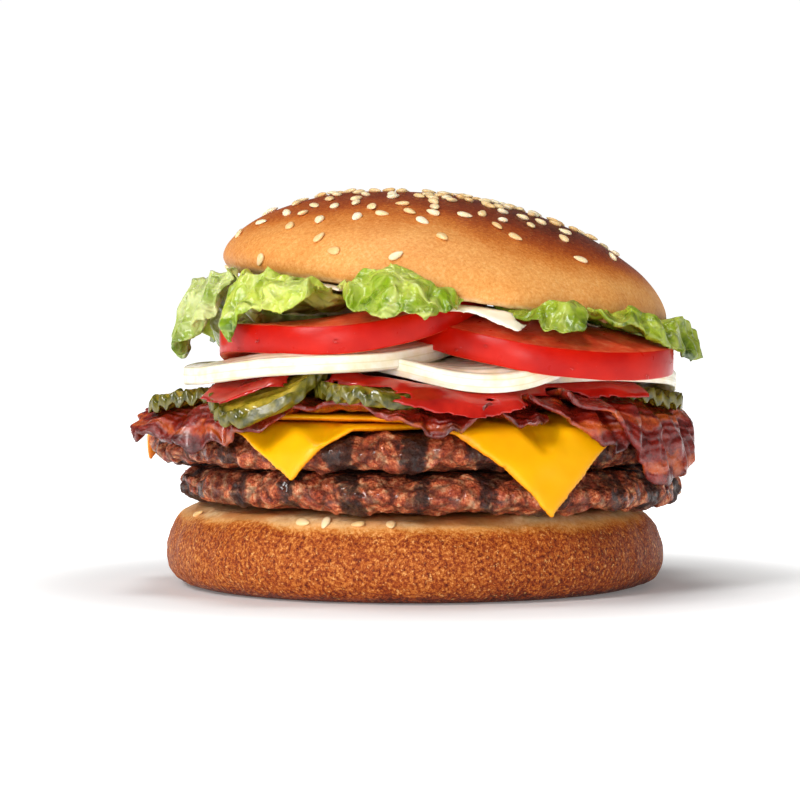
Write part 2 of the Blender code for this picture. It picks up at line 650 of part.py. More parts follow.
def sauce(pile, outline, thickness, outside, roof):
    """A sauce spread all the way round, lying on the food, under the roof and over the food's edge."""
    table = list(outline) + [(outline[0][0] + 360,) + outline[0][1:]]
    azimuths = np.linspace(-180, 180, SAUCE_COLUMNS, endpoint=False)
    values = smooth_row(table, azimuths)
    rest = pile.settled(SAUCE_SOFTNESS)
    grid = np.empty((SAUCE_COLUMNS, SAUCE_ROWS, 3))
    for i, (azimuth, (lip, hem, hem_height)) in enumerate(zip(azimuths, values)):
        way = heading(azimuth)
        radii = lip * np.array([0.2, 0.68, 1.0])
        heights = SAUCE_LIFT + height_at(rest, way[0] * radii, way[1] * radii)
        heights = np.minimum(heights, roof(way[0] * radii, way[1] * radii))
        hem_height = min(hem_height, heights[-1] - CLEARANCE)
        if hem > outside(azimuth):
            hem = max(hem, pile.beside(azimuth, hem_height) + 2 * CLEARANCE)
        bulge = ((lip + hem) / 2 + 0.7, heights[-1] * 0.5 + hem_height * 0.5)
        path = np.array([*zip(radii, heights), bulge, (hem, hem_height)])
        grid[i, :, :2] = way * path[:, :1]
        grid[i, :, 2] = path[:, 1]
    points, faces = sheet_solid(grid, np.linspace(1, 0.7, SAUCE_ROWS) * thickness, closed=True)
    return points, capped(faces)


def capped(faces):
    """A sauce's faces with the small hole at its middle filled, above and below."""
    side = SAUCE_COLUMNS * SAUCE_ROWS
    inner = [i * SAUCE_ROWS for i in range(SAUCE_COLUMNS)]
    outer = [side + n for n in inner]
    wall = set(inner) | set(outer)
    kept = [face for face in faces if not set(face) <= wall]
    return kept + [tuple(reversed(inner)), tuple(outer)]


def slice_profile(radius, thickness):
    """A round slice with a softly rounded edge."""
    h = thickness
    return (
        (0, 0), (radius * 0.6, 0), (radius - 0.9, 0), (radius, 0.5 * h), (radius - 0.9, h),
        (radius * 0.6, h), (0, h),
    )


def round_slice(pile, middle, radius, height, slope, thickness, seed):
    """A slice that keeps its own slope but gives a little where the food under it is higher."""
    points, faces = turned_solid(slice_profile(radius, thickness), SLICE_SEGMENTS)
    outward = points[:, :2] / radius
    points[:, :2] += outward * (0.7 * lumps(seed, 40)(points + [0, 0, 200]))[:, None]
    x, y = points[:, 0] + middle[0], points[:, 1] + middle[1]
    plane = slope[0] * points[:, 0] + slope[1] * points[:, 1]
    below = CLEARANCE + height_at(pile.settled(SLICE_SOFTNESS), x, y)
    level = max(height, np.percentile(below - plane, SLICE_REST_PERCENTILE))
    points[:, 2] += np.maximum(plane + level, below)
    points[:, 0], points[:, 1] = x, y
    return points, faces


def pickle(pile, middle, radius, ridge_azimuth):
    """A crinkle-cut chip: both faces carry the same straight ridges."""
    steps = int(2 * radius / PICKLE_PITCH * 2)
    turn = math.radians(ridge_azimuth)
    rest = pile.settled(PICKLE_SOFTNESS)
    level = float(height_at(rest, *middle))
    grid = np.empty((steps + 1, PICKLE_ROWS, 3))
    for i, share in enumerate(np.linspace(-1, 1, steps + 1)):
        chord = radius * math.sqrt(max(1 - share**2, 0.02))
        for j, side in enumerate(np.linspace(-1, 1, PICKLE_ROWS)):
            u, v = share * radius, side * chord
            x = middle[0] + u * math.cos(turn) - v * math.sin(turn)
            y = middle[1] + u * math.sin(turn) + v * math.cos(turn)
            ridge = PICKLE_CRINKLE * (1 + (-1) ** i)
            below = max(float(height_at(rest, x, y)), level - PICKLE_DROOP)
            grid[i, j] = (x, y, CLEARANCE + ridge + below)
    return sheet_solid(grid, PICKLE_THICKNESS)


def crown(pile):
    """The dome keeps its shape; its soft underside gives way to whatever it is pressed on."""
    points, faces = turned_solid(CROWN_PROFILE, CROWN_SEGMENTS)
    under = (points[:, 2] < 0) & (np.hypot(points[:, 0], points[:, 1]) < CROWN_PRESSED_RADIUS)
    uneven = lumps(71, 38)(points)
    points[:, :2] *= (1 + 0.005 * uneven)[:, None]
    turn = math.radians(CROWN_TILT)
    x = points[:, 0] * math.cos(turn) + points[:, 2] * math.sin(turn)
    z = points[:, 2] * math.cos(turn) - points[:, 0] * math.sin(turn)
    placed = np.stack([x, points[:, 1], z], axis=1) + CROWN_MIDDLE
    below = SAUCE_LIFT + height_at(pile.settled(CROWN_SOFTNESS), placed[:, 0], placed[:, 1])
    placed[:, 2] = np.where(under, np.maximum(placed[:, 2], below), placed[:, 2])
    return placed, faces


def make_look(name):
    look = bpy.data.materials.new(name)
    look.use_nodes = True
    colour, roughness = COLOURS[name]
    shader = look.node_tree.nodes["Principled BSDF"]
    shader.inputs["Base Color"].default_value = colour
    shader.inputs["Roughness"].default_value = roughness
    shader.inputs["Metallic"].default_value = 0.0
    return look


def lay_meat_and_cheese(pile, looks):
    make_solid("heel", looks["bun"], *bun_heel(), pile)
    for name, size in PATTIES.items():
        make_solid(name, looks["patty"], *patty(pile, **size), pile)
    for name, size in CHEESES.items():
        make_solid(name, looks["cheese"], *cheese(pile, **size), pile)


def lay_bacon_and_pickles(pile, looks):
    for name, table in BACON_STRIPS.items():
        make_solid(name, looks["bacon"], *bacon(pile, table), pile)
    for name, (middle, radius, ridge_azimuth) in PICKLES.items():
        make_solid(name, looks["pickle"], *pickle(pile, middle, radius, ridge_azimuth), pile)


def lay_salad(pile, looks):
    solid = sauce(pile, KETCHUP_OUTLINE, KETCHUP_THICKNESS, lambda azimuth: KETCHUP_INSIDE, no_roof)
    make_solid("ketchup", looks["ketchup"], *solid, pile)
    for seed, (name, size) in enumerate(ONIONS.items()):
        solid = round_slice(pile, thickness=ONION_THICKNESS, seed=seed + 31, **size)
        make_solid(name, looks["onion"], *solid, pile)
    for seed, (name, size) in enumerate(TOMATOES.items()):
        solid = round_slice(pile, thickness=TOMATO_THICKNESS, seed=seed + 41, **size)
        make_solid(name, looks["tomato"], *solid, pile)
    for seed, (name, table) in enumerate(LEAVES.items()):
        make_solid(name, looks["lettuce"], *leaf(pile, table, seed), pile)


def main():
    for thing in list(bpy.data.objects):
        bpy.data.objects.remove(thing, do_unlink=True)
    looks = {name: make_look(name) for name in COLOURS}
    pile = Pile()
    lay_meat_and_cheese(pile, looks)
    lay_bacon_and_pickles(pile, looks)
    lay_salad(pile, looks)
    solid = sauce(pile, MAYO_OUTLINE, MAYO_THICKNESS, crown_rim_radius, mayo_roof)
    make_solid("mayo", looks["mayo"], *solid, pile)
    make_solid("crown", looks["bun"], *crown(pile), pile)


main()
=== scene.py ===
"""How a bacon double cheeseburger looks: each layer of the frame as a fine mesh with its own material."""

import math
import random

import bmesh
import bpy
import numpy as np
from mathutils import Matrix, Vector
from mathutils.bvhtree import BVHTree


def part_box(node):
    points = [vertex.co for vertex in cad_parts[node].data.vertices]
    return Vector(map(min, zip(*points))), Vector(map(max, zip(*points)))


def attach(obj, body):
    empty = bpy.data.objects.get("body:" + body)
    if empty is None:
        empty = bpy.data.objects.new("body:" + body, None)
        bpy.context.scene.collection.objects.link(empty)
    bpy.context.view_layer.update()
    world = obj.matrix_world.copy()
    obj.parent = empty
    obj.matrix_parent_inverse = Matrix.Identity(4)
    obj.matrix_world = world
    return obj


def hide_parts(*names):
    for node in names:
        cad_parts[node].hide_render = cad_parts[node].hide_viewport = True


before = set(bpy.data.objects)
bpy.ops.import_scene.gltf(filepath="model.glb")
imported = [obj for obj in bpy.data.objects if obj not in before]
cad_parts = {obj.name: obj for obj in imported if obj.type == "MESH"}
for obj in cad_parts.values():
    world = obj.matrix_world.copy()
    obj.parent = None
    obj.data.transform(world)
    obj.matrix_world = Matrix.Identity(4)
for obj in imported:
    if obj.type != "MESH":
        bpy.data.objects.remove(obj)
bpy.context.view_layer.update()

MM = 0.001
SEED = 11

# Sizes in millimetres.
BUN_RADIUS = 57.0
LAYER_RADIUS = 60.0
PICKLE_PITCH = 3.1
PICKLE_THICKNESS = 2.5
ONION_THICKNESS = 3.9
TOMATO_THICKNESS = 6.2
SEED_SINK = 0.36
COVERED_KEPT = 0.12

# The studio, in metres and degrees.
CAMERA_AIM = (-0.0035, 0.0, 0.0424)
CAMERA_RISE = 2.2
CAMERA_DISTANCE = 0.8
CAMERA_LENS = 155.7
LIGHT_AIM = (0, 0, 0.04)
HORIZON_LIGHT = 1.02
CEILING_LIGHT = 0.10
FLOOR_REACH = 9.0
FLOOR_GLOW = 0.12
FLOOR_SHADOW = (0.068, 0.14)


# ---------------------------------------------------------------- noise on arrays of points

def hashed(cell, seed):
    """A repeatable number from 0 to 1 for each whole-number cell."""
    mixed = cell[:, 0] * 374761393 + cell[:, 1] * 668265263 + cell[:, 2] * 1440662683
    mixed = (mixed + seed * 1274126177) & 0xFFFFFFFF
    mixed = ((mixed ^ (mixed >> 13)) * 1274126177) & 0xFFFFFFFF
    return ((mixed ^ (mixed >> 16)) & 0xFFFFFF) / 0xFFFFFF


def noise(points, size, seed=0):
    """Smooth noise from -1 to 1 with lumps about size across."""
    scaled = points / size + 64.5
    cell = np.floor(scaled).astype(np.int64)
    part = scaled - cell
    part = part * part * part * (part * (part * 6 - 15) + 10)
    total = np.zeros(len(points))
    for corner in range(8):
        step = np.array([corner & 1, corner >> 1 & 1, corner >> 2])
        weight = np.where(step, part, 1 - part).prod(axis=1)
        total += weight * hashed(cell + step, seed)
    return total * 2 - 1


def turned(points):
    """The points turned about a skew axis, so that layers of noise don't line up."""
    x, y, z = points.T
    rows = [0.8 * x - 0.6 * y, 0.48 * x + 0.64 * y - 0.6 * z, 0.36 * x + 0.48 * y + 0.8 * z]
    return np.stack(rows, axis=1)


def layered(points, size, layers=3, seed=0, fade=0.5):
    """Noise of several sizes, each half as large and fainter than the one before."""
    total = np.zeros(len(points))
    strength = 1.0
    for layer in range(layers):
        points = turned(points)
        total += strength * noise(points, size / 2 ** layer, seed + layer)
        strength *= fade
    return total


def swirled(points, size, seed=0, layers=1):
    """A noise vector at each point."""
    return np.stack([layered(points, size, layers, seed + 10 * axis) for axis in range(3)], axis=1)


def cells(points, size, seed=0):
    """Distances to the nearest and second nearest of scattered centres about size apart, over size."""
    scaled = points / size + 64.5
    home = np.floor(scaled).astype(np.int64)
    nearest = np.full(len(points), 9.0)
    second = np.full(len(points), 9.0)
    for step in np.ndindex(3, 3, 3):
        cell = home + np.array(step) - 1
        centre = cell + np.stack([hashed(cell, seed + axis) for axis in range(3)], axis=1)
        gap = np.linalg.norm(scaled - centre, axis=1)
        second = np.minimum(second, np.maximum(gap, nearest))
        nearest = np.minimum(nearest, gap)
    return nearest, second


def between(low, high, value):
    """0 below low, 1 above high, smooth between."""
    part = np.clip((value - low) / (high - low), 0, 1)
    return part * part * (3 - 2 * part)


# ---------------------------------------------------------------- fine meshes from the frame's nodes

class Fine:
    """An even fine mesh of one node's solid, in millimetres, that relief and attributes are added to."""

    def __init__(self, node, voxel, rounds):
        self.name = node
        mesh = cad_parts[node].data.copy()
        weld(mesh)
        thing = bpy.data.objects.new("work", mesh)
        bpy.context.scene.collection.objects.link(thing)
        even = thing.modifiers.new("even", "REMESH")
        even.mode = "VOXEL"
        even.voxel_size = voxel * MM
        soft = thing.modifiers.new("soft", "SMOOTH")
        soft.iterations = rounds
        soft.factor = 0.5
        bpy.context.view_layer.update()
        graph = bpy.context.evaluated_depsgraph_get()
        self.mesh = bpy.data.meshes.new_from_object(thing.evaluated_get(graph))
        bpy.data.objects.remove(thing)
        bpy.data.meshes.remove(mesh)
        self.read()

    def read(self):
        count = len(self.mesh.vertices)
        flat = np.empty(count * 3)
        self.mesh.vertices.foreach_get("co", flat)
        self.points = flat.reshape(-1, 3) / MM
        self.values = {}

    def write(self):
        self.mesh.vertices.foreach_set("co", (self.points * MM).ravel())
        self.mesh.update()

    @property
    def normals(self):
        self.write()
        flat = np.empty(len(self.points) * 3)
        self.mesh.vertex_normals.foreach_get("vector", flat)
        return flat.reshape(-1, 3)

    @property
    def radius(self):
        return np.hypot(self.points[:, 0], self.points[:, 1])

    @property
    def azimuth(self):
        """Degrees round from +X."""
        return np.degrees(np.arctan2(self.points[:, 1], self.points[:, 0]))

    def raised(self, height):
        """Moves every point out along its normal."""
        self.points = self.points + self.normals * np.asarray(height)[..., None]

    def finished(self, material, inside=None):
        """The shown piece. What lies nearer the middle than inside is made coarser, as layers cover it."""
        self.write()
        for name, value in self.values.items():
            made = self.mesh.attributes.new(name, "FLOAT", "POINT")
            made.data.foreach_set("value", value.astype(np.float32))
        self.mesh.name = self.name
        self.mesh.materials.clear()
        self.mesh.materials.append(material)
        self.mesh.polygons.foreach_set("use_smooth", [True] * len(self.mesh.polygons))
        thing = bpy.data.objects.new("look_" + self.name, self.mesh)
        bpy.context.scene.collection.objects.link(thing)
        if inside is not None:
            self.thin_out(thing, self.radius < inside)
        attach(thing, "root")
        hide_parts(self.name)
        return thing

    def thin_out(self, thing, chosen):
        """Makes the chosen points' part of a piece coarser."""
        share = chosen.mean()
        if share < 0.1:
            return
        group = thing.vertex_groups.new(name="covered")
        group.add(np.flatnonzero(chosen).tolist(), 1.0, "REPLACE")
        fewer = thing.modifiers.new("fewer", "DECIMATE")
        fewer.vertex_group = group.name
        fewer.ratio = 1 - share * (1 - COVERED_KEPT)
        bpy.context.view_layer.update()
        graph = bpy.context.evaluated_depsgraph_get()
        mesh = bpy.data.meshes.new_from_object(thing.evaluated_get(graph))
        thing.modifiers.clear()
        thing.vertex_groups.clear()
        old = thing.data
        thing.data = mesh
        bpy.data.meshes.remove(old)
        mesh.name = self.name


def weld(mesh):
    """Joins the corners that a file splits, so that the solid is closed."""
    work = bmesh.new()
    work.from_mesh(mesh)
    bmesh.ops.remove_doubles(work, verts=work.verts, dist=1e-6)
    work.to_mesh(mesh)
    work.free()


def made_piece(name, points, faces, material, values=None, nodes=()):
    """A shown piece from points in millimetres and faces."""
    mesh = bpy.data.meshes.new(name)
    mesh.from_pydata((np.asarray(points) * MM).tolist(), [], faces)
    for key, value in (values or {}).items():
        made = mesh.attributes.new(key, "FLOAT", "POINT")
        made.data.foreach_set("value", np.asarray(value, np.float32))
    mesh.materials.append(material)
    mesh.polygons.foreach_set("use_smooth", [True] * len(mesh.polygons))
    thing = bpy.data.objects.new("look_" + name, mesh)
    bpy.context.scene.collection.objects.link(thing)
    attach(thing, "root")
    if nodes:
        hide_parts(*nodes)
    return thing


# ---------------------------------------------------------------- materials

def tint(red, green, blue):
    """A colour given from 0 to 255 as a shader's linear colour."""
    linear = []
    for part in (red, green, blue):
        part = part / 255
        linear.append(part / 12.92 if part <= 0.04045 else ((part + 0.055) / 1.055) ** 2.4)
    return (*linear, 1.0)


class Look:
    """One food material, built from nodes. Sizes are in millimetres."""

    def __init__(self, name, roughness, scatter=0.0, scatter_size=1.0, tone=(1.0, 0.4, 0.2), specular=0.5):
        self.material = bpy.data.materials.new(name)
        self.material.use_nodes = True
        self.tree = self.material.node_tree
        self.shader = self.tree.nodes["Principled BSDF"]
        self.put("Roughness", roughness)
        self.put("Specular IOR Level", specular)
        self.put("Subsurface Weight", scatter)
        self.put("Subsurface Radius", tone)
        self.put("Subsurface Scale", scatter_size * MM)
        self.place = self.tree.nodes.new("ShaderNodeTexCoord").outputs["Object"]

    def put(self, name, value):
        socket = self.shader.inputs[name]
        if isinstance(value, bpy.types.NodeSocket):
            self.tree.links.new(value, socket)
        else:
            socket.default_value = value

    def node(self, kind, inputs, output, **settings):
        made = self.tree.nodes.new("ShaderNode" + kind)
        for name, value in settings.items():
            setattr(made, name, value)
        for key, value in inputs.items():
            if isinstance(value, bpy.types.NodeSocket):
                self.tree.links.new(value, made.inputs[key])
            else:
                made.inputs[key].default_value = value
        return made.outputs[output]

    def noise(self, size, detail=3.0, rough=0.55):
        inputs = {"Vector": self.place, "Scale": 1 / (size * MM), "Detail": detail, "Roughness": rough}
        return self.node("TexNoise", inputs, "Fac")

    def cells(self, size, feature="F1", place=None):
        inputs = {"Vector": place or self.place, "Scale": 1 / (size * MM)}
        return self.node("TexVoronoi", inputs, "Distance", feature=feature)

    def value(self, name):
        return self.node("Attribute", {}, "Fac", attribute_name=name)

    def sum(self, first, second, operation="ADD", clamp=False):
        return self.node("Math", {0: first, 1: second}, "Value", operation=operation, use_clamp=clamp)

    def times(self, first, second):
        return self.sum(first, second, "MULTIPLY")

    def step(self, value, low, high):
        """0 below low, 1 above high, smooth between."""
        inputs = {"Value": value, "From Min": low, "From Max": high}
        return self.node("MapRange", inputs, "Result", interpolation_type="SMOOTHSTEP")

    def ramp(self, value, *stops):
        """A colour read off a row of (place, colour)."""
        made = self.tree.nodes.new("ShaderNodeValToRGB")
        self.tree.links.new(value, made.inputs["Fac"])
        row = made.color_ramp.elements
        while len(row) < len(stops):
            row.new(0.5)
        for element, (place, colour) in zip(row, stops):
            element.position = place
            element.color = colour
        return made.outputs["Color"]

    def mix(self, share, first, second):
        made = self.tree.nodes.new("ShaderNodeMix")
        made.data_type = "RGBA"
        for index, value in ((0, share), (6, first), (7, second)):
            if isinstance(value, bpy.types.NodeSocket):
                self.tree.links.new(value, made.inputs[index])
            else:
                made.inputs[index].default_value = value
        return made.outputs[2]

    def rough(self, value, low, high):
        inputs = {"Value": value, "To Min": low, "To Max": high}
        self.put("Roughness", self.node("MapRange", inputs, "Result"))

    def colour(self, value):
        self.put("Base Color", value)
        return self.material

    def bumps(self, *rows):
        """Fine relief: rows of (height, depth in millimetres)."""
        normal = None
        for height, depth in rows:
            inputs = {"Height": height, "Strength": 1.0, "Distance": depth * MM}
            if normal is not None:
                inputs["Normal"] = normal
            normal = self.node("Bump", inputs, "Normal")
        self.put("Normal", normal)


def bun_look(name):
    look = Look(name, 0.5, 0.04, 0.8, (1.0, 0.5, 0.2), 0.22)
    blotch = look.noise(9, 4, 0.6)
    grain = look.noise(0.75, 4, 0.75)
    # The bake value carries the real browning and also painted shade on each bun's right side.
    baked = look.sum(look.value("bake"), look.times(look.sum(blotch, -0.5), 0.25))
    baked = look.sum(baked, look.times(look.times(look.sum(grain, -0.5), 2.2), look.value("grain")))
    crust = look.ramp(
        baked, (0.0, tint(238, 188, 126)), (0.2, tint(226, 158, 84)), (0.42, tint(202, 116, 42)),
        (0.6, tint(170, 78, 20)), (0.78, tint(132, 48, 10)), (1.0, tint(76, 24, 5)),
    )
    speck = look.step(look.noise(0.9, 3, 0.6), 0.6, 0.7)
    crust = look.mix(look.times(speck, look.times(look.value("grain"), 0.75)), crust, tint(244, 182, 104))
    crumb = look.ramp(
        look.noise(1.6, 4, 0.65), (0.25, tint(205, 140, 78)), (0.6, tint(240, 203, 150)),
        (0.9, tint(250, 228, 190)),
    )
    crumb = look.mix(look.value("toast"), crumb, tint(206, 120, 48))
    look.rough(grain, 0.4, 0.65)
    pores = look.times(grain, look.value("grain"))
    look.bumps((look.noise(4.5, 3, 0.5), 0.25), (pores, 0.35), (look.cells(1.1), 0.05))
    return look.colour(look.mix(look.value("crumb"), crust, crumb))


def patty_look():
    look = Look("patty_look", 0.45, 0.0, 0.8, (1.0, 0.3, 0.15), 0.6)
    meat = look.ramp(
        look.noise(2.2, 6, 0.8), (0.34, tint(70, 20, 8)), (0.45, tint(176, 68, 34)),
        (0.53, tint(232, 124, 74)), (0.63, tint(252, 196, 146)),
    )
    red = look.step(look.noise(6, 3, 0.5), 0.48, 0.66)
    meat = look.mix(look.times(red, 0.5), meat, tint(152, 50, 24))
    burnt = look.sum(look.value("char"), look.times(look.sum(look.noise(1.6, 5, 0.7), -0.5), 1.3))
    meat = look.mix(look.times(look.step(burnt, 0.4, 0.9), 0.9), meat, tint(26, 12, 8))
    # Painted shade: the crevices between the lumps are darkened almost to black.
    meat = look.mix(look.value("pit"), meat, tint(34, 12, 7))
    look.put("Specular IOR Level", 0.35)
    look.rough(look.noise(1.2, 4, 0.7), 0.1, 0.85)
    look.put("Coat Weight", look.times(look.step(look.noise(2.5, 3, 0.6), 0.46, 0.6), 0.6))
    look.put("Coat Roughness", 0.1)
    look.bumps((look.noise(1.3, 5, 0.75), 1.3), (look.cells(0.8), 0.4))
    return look.colour(meat)


def cheese_look():
    look = Look("cheese_look", 0.3, 0.2, 1.5, (1.0, 0.5, 0.04), 0.3)
    tone = look.noise(14, 3, 0.5)
    body = look.ramp(tone, (0.3, tint(244, 166, 0)), (0.7, tint(250, 184, 2)))
    # Painted shade: faces turned downwards get a darker orange.
    body = look.mix(look.value("under"), body, tint(230, 122, 0))
    look.rough(look.noise(3, 3, 0.5), 0.26, 0.42)
    look.bumps((look.noise(6, 2, 0.4), 0.12), (look.noise(0.6, 2, 0.5), 0.012))
    return look.colour(body)


def bacon_look():
    look = Look("bacon_look", 0.35, 0.08, 0.8, (1.0, 0.35, 0.2), 0.6)
    across = look.sum(look.value("across"), look.times(look.sum(look.noise(11, 3, 0.5), -0.5), 12.0))
    wave = look.node("Math", {0: look.times(across, 0.5)}, "Value", operation="SINE")
    blur = look.times(look.sum(look.noise(2.5, 4, 0.6), -0.5), 1.4)
    fat = look.step(look.sum(wave, blur), 0.55, 1.0)
    lean = look.ramp(
        look.noise(2.8, 5, 0.7), (0.3, tint(66, 8, 3)), (0.5, tint(122, 20, 8)), (0.75, tint(168, 46, 18)),
    )
    pale = look.ramp(look.noise(3.5, 3, 0.5), (0.3, tint(160, 44, 12)), (0.7, tint(202, 96, 36)))
    body = look.mix(fat, lean, pale)
    burnt = look.sum(look.value("edge"), look.times(look.sum(look.noise(2.2, 3, 0.6), -0.5), 0.9))
    body = look.mix(look.times(look.step(burnt, 0.35, 0.95), 0.85), body, tint(56, 14, 10))
    look.rough(look.noise(1.6, 3, 0.6), 0.08, 0.5)
    streaks = look.node("Math", {0: look.times(across, 2.2)}, "Value", operation="SINE")
    look.put("Coat Weight", look.times(look.step(look.noise(3, 3, 0.6), 0.4, 0.6), 0.7))
    look.put("Coat Roughness", 0.1)
    look.bumps((streaks, 0.1), (look.noise(1.5, 5, 0.7), 0.35), (look.cells(0.9), 0.06))
    return look.colour(body)


def pickle_look():
    look = Look("pickle_look", 0.2, 0.35, 2.0, (0.8, 0.7, 0.15), 0.7)
    flesh = look.ramp(
        look.noise(2.6, 4, 0.6), (0.3, tint(128, 116, 24)), (0.55, tint(184, 158, 46)),
        (0.8, tint(222, 200, 92)),
    )
    skin = look.ramp(look.noise(1.8, 3, 0.6), (0.3, tint(44, 52, 8)), (0.7, tint(122, 112, 28)))
    look.rough(look.noise(2, 2, 0.5), 0.1, 0.32)
    look.bumps((look.noise(1.2, 3, 0.5), 0.08),)
    return look.colour(look.mix(look.value("skin"), flesh, skin))


def sauce_look(name, dark, light, scatter, tone, smooth=0.12):
    look = Look(name, smooth, scatter, 1.5, tone, 0.6)
    look.rough(look.noise(5, 3, 0.5), smooth * 0.7, smooth * 1.8)
    look.bumps((look.noise(3.2, 2, 0.4), 0.12), (look.noise(0.5, 2, 0.5), 0.01))
    return look.colour(look.ramp(look.noise(6, 4, 0.55), (0.3, dark), (0.7, light)))


def onion_look():
    look = Look("onion_look", 0.22, 0.5, 3.0, (1.0, 0.85, 0.7), 0.6)
    ring = look.sum(look.value("ring"), look.times(look.sum(look.noise(12, 2, 0.5), -0.5), 1.2))
    wave = look.node("Math", {0: look.times(ring, 2.1)}, "Value", operation="SINE")
    body = look.ramp(look.noise(3, 3, 0.5), (0.3, tint(236, 222, 184)), (0.7, tint(250, 244, 228)))
    body = look.mix(look.times(look.step(wave, 0.7, 0.99), 0.4), body, tint(206, 190, 130))
    look.rough(look.noise(2, 2, 0.5), 0.12, 0.32)
    look.bumps((look.noise(2.4, 3, 0.5), 0.06), (wave, 0.05))
    return look.colour(body)


def tomato_look():
    look = Look("tomato_look", 0.2, 0.06, 1.2, (1.0, 0.1, 0.04), 0.2)
    skin = look.ramp(look.noise(8, 3, 0.5), (0.3, tint(172, 8, 0)), (0.7, tint(200, 24, 2)))
    flesh = look.ramp(
        look.noise(2.2, 4, 0.6), (0.25, tint(206, 44, 20)), (0.55, tint(224, 78, 44)),
        (0.85, tint(240, 140, 98)),
    )
    look.rough(look.noise(2.5, 2, 0.5), 0.2, 0.45)
    pulp = look.times(look.noise(0.9, 3, 0.6), look.value("cut"))
    look.bumps((look.noise(3.0, 2, 0.5), 0.06), (pulp, 0.1))
    return look.colour(look.mix(look.value("cut"), skin, flesh))


def lettuce_look(name, dark, mid, light, vein):
    look = Look(name, 0.3, 0.3, 1.2, (0.5, 0.8, 0.1), 0.55)
    # Painted light and shade: higher and ridged parts of a leaf are coloured paler, and lower parts and
    # valleys darker.
    tone = look.sum(look.noise(8, 4, 0.6), look.times(look.value("pale"), 0.35))
    body = look.ramp(tone, (0.32, dark), (0.52, mid), (0.8, light))
    # Painted shade: the lowest edge of each leaf is darkened towards the dark green.
    body = look.mix(look.times(look.value("hem"), 0.45), body, dark)
    swirl = look.node("TexNoise", {"Vector": look.place, "Scale": 160.0}, "Color")
    inputs = {0: swirl, 1: (0.006, 0.006, 0.006), 2: look.place}
    bent = look.node("VectorMath", inputs, "Vector", operation="MULTIPLY_ADD")
    main = look.cells(13, "DISTANCE_TO_EDGE", place=bent)
    small = look.cells(4.2, "DISTANCE_TO_EDGE", place=bent)
    ribs = look.sum(look.step(main, 0.10, 0.02), look.times(look.step(small, 0.10, 0.02), 0.35), clamp=True)
    body = look.mix(look.times(ribs, 0.6), body, vein)
    look.rough(look.noise(3, 2, 0.5), 0.18, 0.4)
    grain = look.noise(1.4, 3, 0.6)
    look.bumps((look.step(main, 0.0, 0.16), -0.5), (look.step(small, 0.0, 0.3), 0.3), (grain, 0.12))
    return look.colour(body)


def seed_look():
    look = Look("seed_look", 0.35, 0.3, 0.8, (1.0, 0.75, 0.4), 0.5)
    body = look.ramp(
        look.value("tone"), (0.0, tint(232, 190, 126)), (0.5, tint(248, 222, 172)),
        (1.0, tint(254, 240, 208)),
    )
    body = look.mix(look.times(look.noise(0.9, 3, 0.6), 0.25), body, tint(214, 160, 92))
    look.bumps((look.noise(0.5, 2, 0.5), 0.02),)
    return look.colour(body)


# ---------------------------------------------------------------- bread

def cut_plane(shape, sign):
    """The flat cut face of a bun half as (slope x, slope y, level), fitted to its flat middle."""
    normals = shape.normals
    flat = (sign * normals[:, 2] > 0.8) & (shape.radius < 40)
    x, y, z = shape.points[flat].T
    rows = np.stack([x, y, np.ones(len(x))], axis=1)
    return np.linalg.lstsq(rows, z, rcond=None)[0]


def crown_piece():
    shape = Fine("crown", 0.9, 50)
    slope_x, slope_y, level = cut_plane(shape, -1)
    shape.raised(0.35 * layered(shape.points, 22, 3, SEED))
    x, y, z = shape.points.T
    above = z - (slope_x * x + slope_y * y + level)
    normals = shape.normals
    crumb = between(-0.45, -0.8, normals[:, 2])
    side = x / BUN_RADIUS
    baked = 0.22 + 0.58 * between(5, 21, above + 1.5 * layered(shape.points, 14, 2, 5))
    # Painted shade: the crust is browned more towards the right side, which the light reaches less. The far
    # left is also a little darker.
    baked += 0.5 * between(0.0, 0.85, side) * between(0, 9, above)
    baked += 0.15 * between(-0.3, -1.0, side)
    shape.values["bake"] = np.clip(baked, 0.02, 0.95)
    shape.values["grain"] = np.full(len(x), 0.3)
    shape.values["crumb"] = crumb
    shape.values["toast"] = 0.25 * between(0.1, 0.8, layered(shape.points, 12, 2, 9))
    shape.raised(0.12 * crumb * layered(shape.points, 2.2, 2, 3))
    return shape.finished(bun_look("crown_look"))


def heel_piece():
    shape = Fine("heel", 0.75, 28)
    normals = shape.normals
    x, _, z = shape.points.T
    top = z.max()
    crumb = between(0.75, 0.95, normals[:, 2]) * between(top - 3.5, top - 2, z)
    shape.raised(0.3 * layered(shape.points, 16, 3, SEED + 1) * between(0.2, 2, z))
    rim = between(top - 5.0, top - 1.6, z + 0.8 * layered(shape.points, 10, 2, 4))
    baked = 0.6 - 0.58 * rim + 0.3 * between(3.0, 0.4, z + 0.7 * layered(shape.points, 3, 2, 6))
    # Painted shade: the crust is a little darker towards the right side, which the light reaches less.
    baked += 0.1 * between(-0.2, 1.0, x / BUN_RADIUS)
    shape.values["grain"] = 1 - 0.7 * rim
    shape.values["bake"] = np.clip(baked, 0.05, 1.0)
    shape.values["crumb"] = crumb
    shape.values["toast"] = 0.75 * between(-0.2, 0.5, layered(shape.points, 15, 2, 2) - 0.01 * x)
    shape.raised(0.15 * crumb * layered(shape.points, 2.0, 2, 3))
    side = (1 - crumb) * between(0.3, 1.5, z)
    shape.raised(side * (0.14 * layered(shape.points, 1.7, 2, 8) + 0.12 * layered(shape.points, 4, 2, 9)))
    return shape.finished(bun_look("heel_look"), 46)


# ---------------------------------------------------------------- meat and cheese

